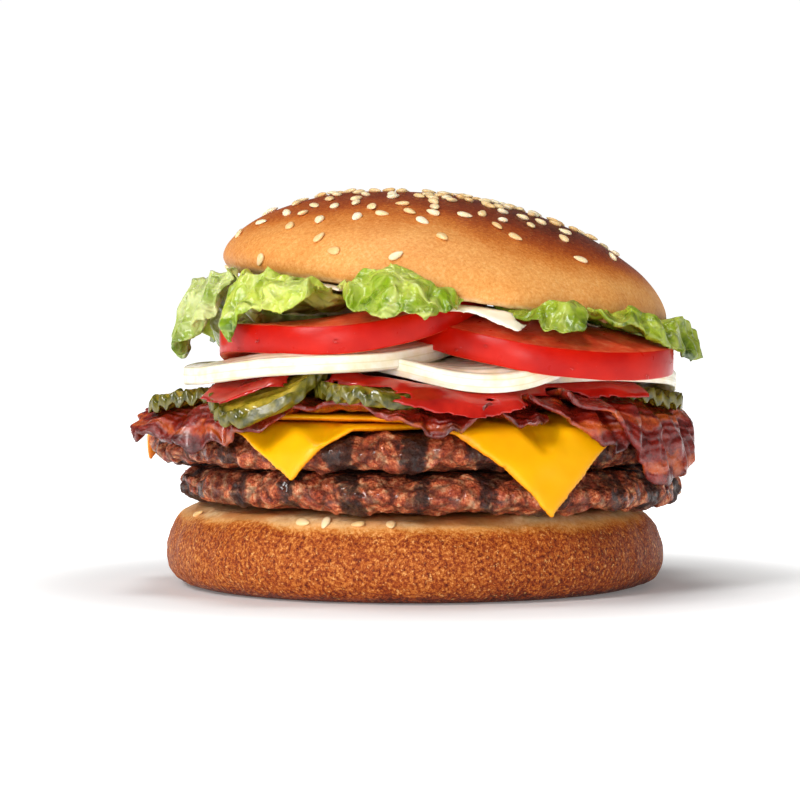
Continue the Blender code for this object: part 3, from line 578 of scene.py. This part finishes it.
def patty_piece(node, material, seed):
    shape = Fine(node, 0.6, 11)
    bent = shape.points + 1.2 * swirled(shape.points, 4, seed, 2)
    nearest, second = cells(bent * (1, 1, 1.25), 4.6, seed)
    small, _ = cells(bent, 1.9, seed + 3)
    outer = between(44, 54, shape.radius)
    tiny, _ = cells(bent, 1.0, seed + 6)
    height = 1.5 * (0.6 - nearest) + 0.8 * (0.5 - small) + 0.3 * (0.5 - tiny)
    height = height + 1.2 * layered(shape.points, 11, 3, seed)
    shape.raised(height * outer - 0.1 * outer)
    along = shape.azimuth / 360 * 2 * math.pi * BUN_RADIUS
    bands = np.sin(2 * math.pi * (along + 3 * layered(shape.points, 12, 2, seed + 5)) / 15.5)
    patches = between(0.2, -0.4, layered(shape.points, 6, 2, seed + 8))
    shape.values["char"] = between(0.0, 0.9, bands) * 0.8 + 0.2 * patches
    # Painted shade: marks the crevices between the lumps so they can be darkened.
    shape.values["pit"] = between(0.3, 0.0, second - nearest) * 0.7
    return shape.finished(material, 46)


def cheese_piece(node, material, seed):
    shape = Fine(node, 0.8, 10)
    shape.raised(0.12 * layered(shape.points, 7, 2, seed))
    # Painted shade: how far each face turns downwards, for a darker orange underneath.
    shape.values["under"] = between(-0.2, -0.8, shape.normals[:, 2])
    return shape.finished(material, 44)


def bacon_piece(node, material, seed):
    """A crisp strip: rippled across, ragged at its hem."""
    shape = Fine(node, 0.52, 6)
    x, y, z = shape.points.T
    across = (shape.radius - 41) + (z.max() - z)
    outer = between(43, 51, shape.radius)
    low = between(z.min() + 8, z.min(), z)
    along = np.radians(shape.azimuth) * LAYER_RADIUS
    wave = np.sin(along * 2 * math.pi / 9 + 1.8 * layered(shape.points, 12, 2, seed + 2))
    small = np.sin(along * 2 * math.pi / 3.4 + 2.5 * layered(shape.points, 6, 2, seed + 3))
    level = np.stack([x, y, 0 * x], axis=1) / shape.radius[:, None]
    shape.points = shape.points + level * ((1.0 * wave + 0.25 * small) * outer)[:, None]
    ridged = 1 - 2 * np.abs(swirled(shape.points, 9, seed, 1))
    shift = 0.6 * ridged + 0.08 * swirled(shape.points, 2.4, seed + 30)
    shift[:, 2] += (1.0 * wave + 0.35 * small) * low
    shape.points = shape.points + shift * outer[:, None]
    shape.values["across"] = across
    shape.values["edge"] = low * 0.55 + between(55, 62, shape.radius) * 0.25
    return shape.finished(material, 45)


# ---------------------------------------------------------------- salad and sauces

class Slice:
    """A round slice where a node lies: its outline from the node's box, its bend from the node's shape."""

    def __init__(self, node, thickness, degree, rounding, rings, around):
        self.around = around
        low, high = (np.array(corner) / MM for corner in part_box(node))
        self.middle = ((low + high) / 2)[:2]
        self.reach = ((high - low) / 2)[:2]
        rough = Fine(node, 1.0, 2)
        self.degree = degree
        powers = self.powers(rough.points[:, :2])
        self.bend = np.linalg.lstsq(powers, rough.points[:, 2], rcond=None)[0]
        bpy.data.meshes.remove(rough.mesh)
        half = thickness / 2
        turns = np.linspace(0, math.pi, 9)
        fall = np.abs(np.cos(turns))
        inner = 1 - rounding / self.reach.mean()
        flat = np.linspace(0, inner, rings)[1:]
        rim = inner + (1 - inner) * np.sin(turns)
        self.out = np.concatenate([flat[:-1], rim, flat[:-1][::-1]])
        rim_level = np.sign(np.cos(turns)) * (half - rounding * (1 - fall)) * (fall > 1e-6)
        self.level = np.concatenate([np.full(rings - 2, half), rim_level, np.full(rings - 2, -half)])
        side = np.concatenate([np.zeros(rings - 2), np.sin(turns) > 0.5, np.zeros(rings - 2)])
        angles = np.linspace(0, 2 * math.pi, self.around, endpoint=False)
        out, angle = np.meshgrid(np.append(self.out, [0, 0]), angles, indexing="ij")
        self.share = out[:-2].ravel()
        self.angle = angle[:-2].ravel()
        self.share = np.append(self.share, [0, 0])
        self.angle = np.append(self.angle, [0, 0])
        self.height = np.append(np.repeat(self.level, self.around), [half, -half])
        self.side = np.append(np.repeat(side, self.around), [0, 0])

    def powers(self, places):
        x, y = ((places - self.middle) / self.reach).T
        steps = range(self.degree + 1)
        return np.stack([x ** i * y ** j for i in steps for j in steps if i + j <= self.degree], axis=1)

    def points(self, grow=0.0, lift=0.0):
        """The slice's points, its outline pushed out by grow and its surface moved up by lift."""
        ways = np.stack([np.cos(self.angle), np.sin(self.angle)], axis=1)
        flat = self.middle + ways * self.share[:, None] * self.reach
        flat = flat + ways * (np.asarray(grow) * self.share ** 4)[:, None]
        within = self.middle + ways * np.minimum(self.share, 0.97)[:, None] * self.reach
        level = self.powers(within) @ self.bend
        return np.column_stack([flat, level + self.height + lift])

    def faces(self):
        rows, around = len(self.out), self.around
        top, bottom = rows * around, rows * around + 1
        found = []
        for step in range(around):
            after = (step + 1) % around
            found.append((top, step, after))
            found.append((bottom, (rows - 1) * around + after, (rows - 1) * around + step))
            for row in range(rows - 1):
                here, there = row * around, (row + 1) * around
                found.append((here + step, there + step, there + after, here + after))
        return found


def pickle_piece(node, material, ridges):
    """A crinkle-cut chip whose ridges run towards the azimuth ridges."""
    chip = Slice(node, PICKLE_THICKNESS, 2, 0.4, 26, 130)
    turn = math.radians(ridges)
    flat = chip.points()
    x, y = (flat[:, :2] - chip.middle).T
    share = (x * math.cos(turn) + y * math.sin(turn)) * 2 * math.pi / PICKLE_PITCH
    rim = between(0.7, 1.0, chip.share)
    grow = 0.45 * layered(flat, 8, 2, ridges) + 0.35 * np.sin(share * 1.5 + chip.angle * 3)
    lift = 0.7 * np.sin(share) * (0.6 + 0.6 * rim) + 0.5 * layered(flat * (1, 1, 0), 9, 2, ridges + 1)
    points = chip.points(grow, lift)
    points += 0.09 * swirled(points, 1.3, ridges)
    skin = np.maximum(chip.side, between(0.86, 0.94, chip.share))
    return made_piece(node, points, chip.faces(), material, {"skin": skin}, (node,))


def onion_piece(node, material, seed):
    """A slice of onion: crisp rings, each a little prouder or lower than the next."""
    ring = Slice(node, ONION_THICKNESS, 3, 0.5, 22, 150)
    out = ring.share * ring.reach.mean()
    flat = ring.points() * (1, 1, 0)
    lift = 0.12 * np.sin(out * 2.1) + 0.25 * layered(flat, 18, 2, seed)
    points = ring.points(0.6 * layered(flat, 20, 2, seed + 4), lift)
    values = {"ring": out + 1.9 * ring.height * ring.side, "side": ring.side}
    return made_piece(node, points, ring.faces(), material, values, (node,))


def tomato_piece(node, material, seed):
    """A slice of tomato with its skin round the edge and flesh above and below."""
    disc = Slice(node, TOMATO_THICKNESS, 2, 0.55, 14, 170)
    flat = disc.points() * (1, 1, 0)
    lift = 0.12 * layered(flat, 7, 2, seed + 2) * (1 - disc.side)
    points = disc.points(0.7 * layered(flat, 24, 2, seed), lift)
    return made_piece(node, points, disc.faces(), material, {"cut": 1 - disc.side}, (node,))


def sauce_piece(node, material, seed):
    shape = Fine(node, 0.6, 9)
    shape.raised(0.2 * layered(shape.points, 7, 2, seed))
    return shape.finished(material, 43)


def lettuce_piece(node, material, seed):
    """A leaf with sharp crumples, waves round its hem and a frilled edge."""
    shape = Fine(node, 0.54, 4)
    outer = between(43, 51, shape.radius)
    x, y, z = shape.points.T
    low = between(z.min() + 9, z.min(), z)
    along = np.radians(shape.azimuth) * LAYER_RADIUS
    folds = np.sin(along * 2 * math.pi / 7.5 + 2.2 * layered(shape.points, 9, 2, seed + 3))
    level = np.stack([x, y, 0 * x], axis=1) / shape.radius[:, None]
    shape.points = shape.points + level * (1.1 * folds * outer)[:, None]
    ridged = 1 - 2 * np.abs(swirled(shape.points, 8, seed, 2))
    crumple = 1.2 * swirled(shape.points, 9, seed + 20) + ridged
    crumple = crumple + 0.3 * swirled(shape.points, 2.8, seed + 50)
    frill = np.sin(along * 2 * math.pi / 5.4 + 3 * layered(shape.points, 5, 2, seed + 9))
    crumple[:, 2] += 0.4 * frill * low
    crumple[:, 1] -= 0.25 * frill * low
    shape.points = shape.points + crumple * outer[:, None]
    x, y, z = shape.points.T
    # Painted light and shade: paler with height and on ridges, darker in the valleys.
    shape.values["pale"] = 0.5 * between(z.min(), z.max(), z) + 0.6 * ridged.mean(axis=1)
    # Painted shade: the lowest 5 mm of each leaf, to be darkened.
    shape.values["hem"] = between(z.min() + 5, z.min(), z)
    return shape.finished(material, 40)


# ---------------------------------------------------------------- seeds

def seed_shape(length, width, thick, around=10, rows=7):
    """A flat drop shape: points and faces, its pointed end towards +X."""
    points = [(-length / 2, 0.0, 0.0)]
    for row in range(1, rows):
        turn = math.pi * row / rows
        along = -math.cos(turn)
        wide = math.sin(turn) * (1 - 0.28 * along)
        for step in range(around):
            angle = 2 * math.pi * step / around
            across = wide * width / 2 * math.cos(angle)
            points.append((along * length / 2, across, wide * thick / 2 * math.sin(angle)))
    points.append((length / 2, 0.0, 0.0))
    faces = []
    for step in range(around):
        after = (step + 1) % around
        faces.append((0, 1 + after, 1 + step))
        for row in range(rows - 2):
            first = 1 + row * around
            second = first + around
            faces.append((first + step, first + after, second + after, second + step))
        last = 1 + (rows - 2) * around
        faces.append((last + step, last + after, len(points) - 1))
    return np.array(points), faces


def seed_frame(normal, turn):
    """Three directions: along the seed, across it and out of the surface."""
    side = normal.orthogonal().normalized()
    along = side * math.cos(turn) + normal.cross(side) * math.sin(turn)
    return np.array([along, normal.cross(along), normal])


def seeds_on(name, shown, spots, material, seed):
    """Sesame seeds pressed into a shown piece at the spots, as one mesh."""
    dice = random.Random(seed)
    tree = BVHTree.FromObject(shown, bpy.context.evaluated_depsgraph_get())
    points, faces, tones = [], [], []
    for start, way in spots:
        place, normal, _, _ = tree.ray_cast(start, way)
        if place is None:
            continue
        size = (dice.uniform(3.0, 3.6), dice.uniform(1.85, 2.25), dice.uniform(0.9, 1.15))
        shape, shape_faces = seed_shape(*size)
        lean = Vector((dice.gauss(0, 0.12), dice.gauss(0, 0.12), dice.gauss(0, 0.12)))
        axes = seed_frame((normal + lean).normalized(), dice.uniform(0, math.tau))
        centre = np.array(place) / MM + np.array(normal) * SEED_SINK
        base = len(points)
        points.extend(centre + shape @ axes)
        faces.extend(tuple(base + corner for corner in face) for face in shape_faces)
        tones.extend([dice.random()] * len(shape))
    return made_piece(name, points, faces, material, {"tone": tones})


def crown_seed_spots(count, apart, seed):
    """Rays towards the crown's middle from all over it, no two too near, most of them near the top."""
    dice = random.Random(seed)
    low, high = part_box("crown")
    middle = Vector(((low[0] + high[0]) / 2, (low[1] + high[1]) / 2, low[2] + 0.002))
    ways = []
    tries = 0
    while len(ways) < count and tries < 20000:
        tries += 1
        rise = math.radians(dice.uniform(14, 90))
        turn = dice.uniform(0, math.tau)
        flat = math.cos(rise)
        way = Vector((math.cos(turn) * flat, math.sin(turn) * flat, math.sin(rise)))
        if dice.random() > math.cos(rise) + 0.05:
            continue
        if dice.random() > 0.12 + 0.88 * min(1.0, way.z * 1.4) ** 2:
            continue
        if all((way - other).length > apart for other in ways):
            ways.append(way)
    return [(middle + way * 0.12, -way) for way in ways]


def heel_seed_spots(azimuths):
    """Rays straight down on to the heel's rim."""
    low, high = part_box("heel")
    reach = (high[0] - low[0]) / 2 - 0.004
    spots = []
    for azimuth in azimuths:
        turn = math.radians(azimuth)
        way = Vector((math.cos(turn), math.sin(turn), 0.9)).normalized()
        radius = reach - 0.012
        middle = Vector((math.cos(turn) * radius, math.sin(turn) * radius, high[2] - 0.012))
        spots.append((middle + way * 0.05, -way))
    return spots


def water_look():
    look = Look("water_look", 0.03, specular=0.5)
    look.put("Transmission Weight", 1.0)
    look.put("IOR", 1.33)
    look.rough(look.noise(2, 2, 0.5), 0.0, 0.06)
    return look.colour(look.ramp(look.noise(3, 2), (0.0, (0.97, 0.97, 0.97, 1)), (1.0, (1, 1, 1, 1))))


def droplets_on(name, shown, count, seed):
    """Water beads on the side of a shown piece, as one mesh."""
    dice = random.Random(seed)
    tree = BVHTree.FromObject(shown, bpy.context.evaluated_depsgraph_get())
    corners = np.array([shown.matrix_world @ Vector(corner) for corner in shown.bound_box])
    low, high = corners.min(axis=0), corners.max(axis=0)
    middle = (low + high) / 2
    points, faces = [], []
    for _ in range(count):
        turn = dice.uniform(0, math.tau)
        way = Vector((math.cos(turn), math.sin(turn), 0.0))
        start = Vector((middle[0], middle[1], dice.uniform(low[2], high[2]))) + way * 0.08
        place, normal, _, _ = tree.ray_cast(start, -way)
        if place is None:
            continue
        size = 0.14 + 0.5 * dice.random() ** 3
        shape, shape_faces = seed_shape(2 * size, 2 * size * dice.uniform(0.85, 1.0), size * 1.1, 9, 6)
        axes = seed_frame(normal, dice.uniform(0, math.tau))
        base = len(points)
        points.extend(np.array(place) / MM + np.array(normal) * size * 0.12 + shape @ axes)
        faces.extend(tuple(base + corner for corner in face) for face in shape_faces)
    return made_piece(name, points, faces, water_look())


# ---------------------------------------------------------------- camera, light and floor

def make_camera():
    scene = bpy.context.scene
    data = bpy.data.cameras.new("camera")
    data.lens = CAMERA_LENS
    data.clip_start = 0.01
    camera = bpy.data.objects.new("camera", data)
    scene.collection.objects.link(camera)
    aim = Vector(CAMERA_AIM)
    rise = math.radians(CAMERA_RISE)
    back = Vector((0, -math.cos(rise), math.sin(rise)))
    camera.location = aim + back * CAMERA_DISTANCE
    camera.rotation_mode = "QUATERNION"
    camera.rotation_quaternion = (-back).to_track_quat("-Z", "Y")
    scene.camera = camera


def make_light(name, place, side, power):
    """A square light turned towards the burger."""
    data = bpy.data.lights.new(name, "AREA")
    data.shape = "SQUARE"
    data.size = side
    data.energy = power
    light = bpy.data.objects.new(name, data)
    bpy.context.scene.collection.objects.link(light)
    light.location = place
    light.rotation_mode = "QUATERNION"
    light.rotation_quaternion = (Vector(LIGHT_AIM) - Vector(place)).to_track_quat("-Z", "Y")


def make_world():
    """Dim overhead and bright round the horizon, like a studio with lit white walls."""
    world = bpy.data.worlds.new("studio")
    bpy.context.scene.world = world
    world.use_nodes = True
    tree = world.node_tree
    back = tree.nodes["Background"]
    place = tree.nodes.new("ShaderNodeTexCoord")
    split = tree.nodes.new("ShaderNodeSeparateXYZ")
    fall = tree.nodes.new("ShaderNodeMapRange")
    fall.interpolation_type = "SMOOTHSTEP"
    limits = {"From Min": 0.06, "From Max": 0.35, "To Min": HORIZON_LIGHT, "To Max": CEILING_LIGHT}
    for name, value in limits.items():
        fall.inputs[name].default_value = value
    tree.links.new(place.outputs["Generated"], split.inputs["Vector"])
    tree.links.new(split.outputs["Z"], fall.inputs["Value"])
    tree.links.new(fall.outputs["Result"], back.inputs["Strength"])
    back.inputs["Color"].default_value = (1.0, 1.0, 1.0, 1.0)


def make_floor():
    """A wide pale table top with painted light: it glows faintly near the burger and fully white farther
    out.
    """
    mesh = bpy.data.meshes.new("floor")
    corners = [(x * FLOOR_REACH, y * FLOOR_REACH, 0.0) for x, y in ((-1, -1), (1, -1), (1, 1), (-1, 1))]
    mesh.from_pydata(corners, [], [(0, 1, 2, 3)])
    look = Look("floor_look", 0.6, specular=0.2)
    shade = look.ramp(look.noise(400, 2), (0.0, (0.88, 0.88, 0.88, 1)), (1.0, (0.92, 0.92, 0.92, 1)))
    # Painted light: a white glow that rises from FLOOR_GLOW near the burger to full strength farther out.
    # The shadow stays visible near the burger and the far floor reads as white.
    look.put("Emission Color", (1.0, 1.0, 1.0, 1.0))
    reach = look.node("VectorMath", {0: look.place}, "Value", operation="LENGTH")
    near, far = FLOOR_SHADOW
    inputs = {"Value": reach, "From Min": near, "From Max": far, "To Min": FLOOR_GLOW, "To Max": 1.0}
    look.put("Emission Strength", look.node("MapRange", inputs, "Result", interpolation_type="SMOOTHSTEP"))
    mesh.materials.append(look.colour(shade))
    floor = bpy.data.objects.new("floor", mesh)
    bpy.context.scene.collection.objects.link(floor)


def make_studio():
    make_camera()
    make_world()
    make_floor()
    make_light("key", (-0.55, -0.75, 0.6), 0.3, 6.6)
    make_light("top", (-0.05, -0.05, 1.0), 0.3, 3.6)
    make_light("front", (-0.25, -1.0, 0.16), 0.25, 2.4)
    bpy.context.scene.view_settings.view_transform = "Standard"


# ---------------------------------------------------------------- the burger

LETTUCE_TONES = {
    "bright": (tint(64, 96, 2), tint(130, 158, 18), tint(188, 200, 76), tint(206, 212, 120)),
    "pale": (tint(76, 104, 16), tint(140, 160, 58), tint(188, 198, 118), tint(202, 208, 146)),
    "green": (tint(52, 74, 4), tint(104, 128, 12), tint(154, 172, 40), tint(176, 186, 76)),
}
LETTUCE = {
    "lettuce_left": "pale", "lettuce_front_left": "bright", "lettuce_front": "bright",
    "lettuce_front_right": "green", "lettuce_right": "green", "lettuce_back_left": "green",
    "lettuce_back": "bright", "lettuce_back_right": "green",
}


def names(kind):
    return sorted(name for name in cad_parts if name.startswith(kind))


def make_burger():
    crown = crown_piece()
    heel = heel_piece()
    meat, cheese, bacon = patty_look(), cheese_look(), bacon_look()
    pickle, onion, tomato = pickle_look(), onion_look(), tomato_look()
    ketchup = sauce_look("ketchup_look", tint(150, 14, 8), tint(196, 36, 22), 0.15, (1.0, 0.15, 0.08))
    mayo = sauce_look("mayo_look", tint(240, 226, 190), tint(252, 244, 222), 0.4, (1.0, 0.85, 0.6), 0.16)
    for index, node in enumerate(names("patty")):
        patty_piece(node, meat, 20 + 7 * index)
    for index, node in enumerate(names("cheese")):
        cheese_piece(node, cheese, 30 + index)
    for index, node in enumerate(names("bacon")):
        bacon_piece(node, bacon, 40 + 5 * index)
    for index, node in enumerate(names("pickle")):
        pickle_piece(node, pickle, 15 + 37 * index)
    for index, node in enumerate(names("onion")):
        onion_piece(node, onion, 60 + index)
    slices = [tomato_piece(node, tomato, 70 + index) for index, node in enumerate(names("tomato"))]
    tones = {name: lettuce_look("lettuce_" + name + "_look", *row) for name, row in LETTUCE_TONES.items()}
    for index, (node, tone) in enumerate(LETTUCE.items()):
        lettuce_piece(node, tones[tone], 80 + 9 * index)
    sauce_piece("ketchup", ketchup, 3)
    sauce_piece("mayo", mayo, 4)
    bpy.context.view_layer.update()
    for index, shown in enumerate(slices):
        droplets_on(f"droplets_{index}", shown, 150, 90 + index)
    seeds = seed_look()
    seeds_on("crown_seeds", crown, crown_seed_spots(170, 0.09, SEED), seeds, 5)
    seeds_on("heel_seeds", heel, heel_seed_spots((-118, -112, -104, -96, 30, 75, 140, 200)), seeds, 6)


make_studio()
make_burger()
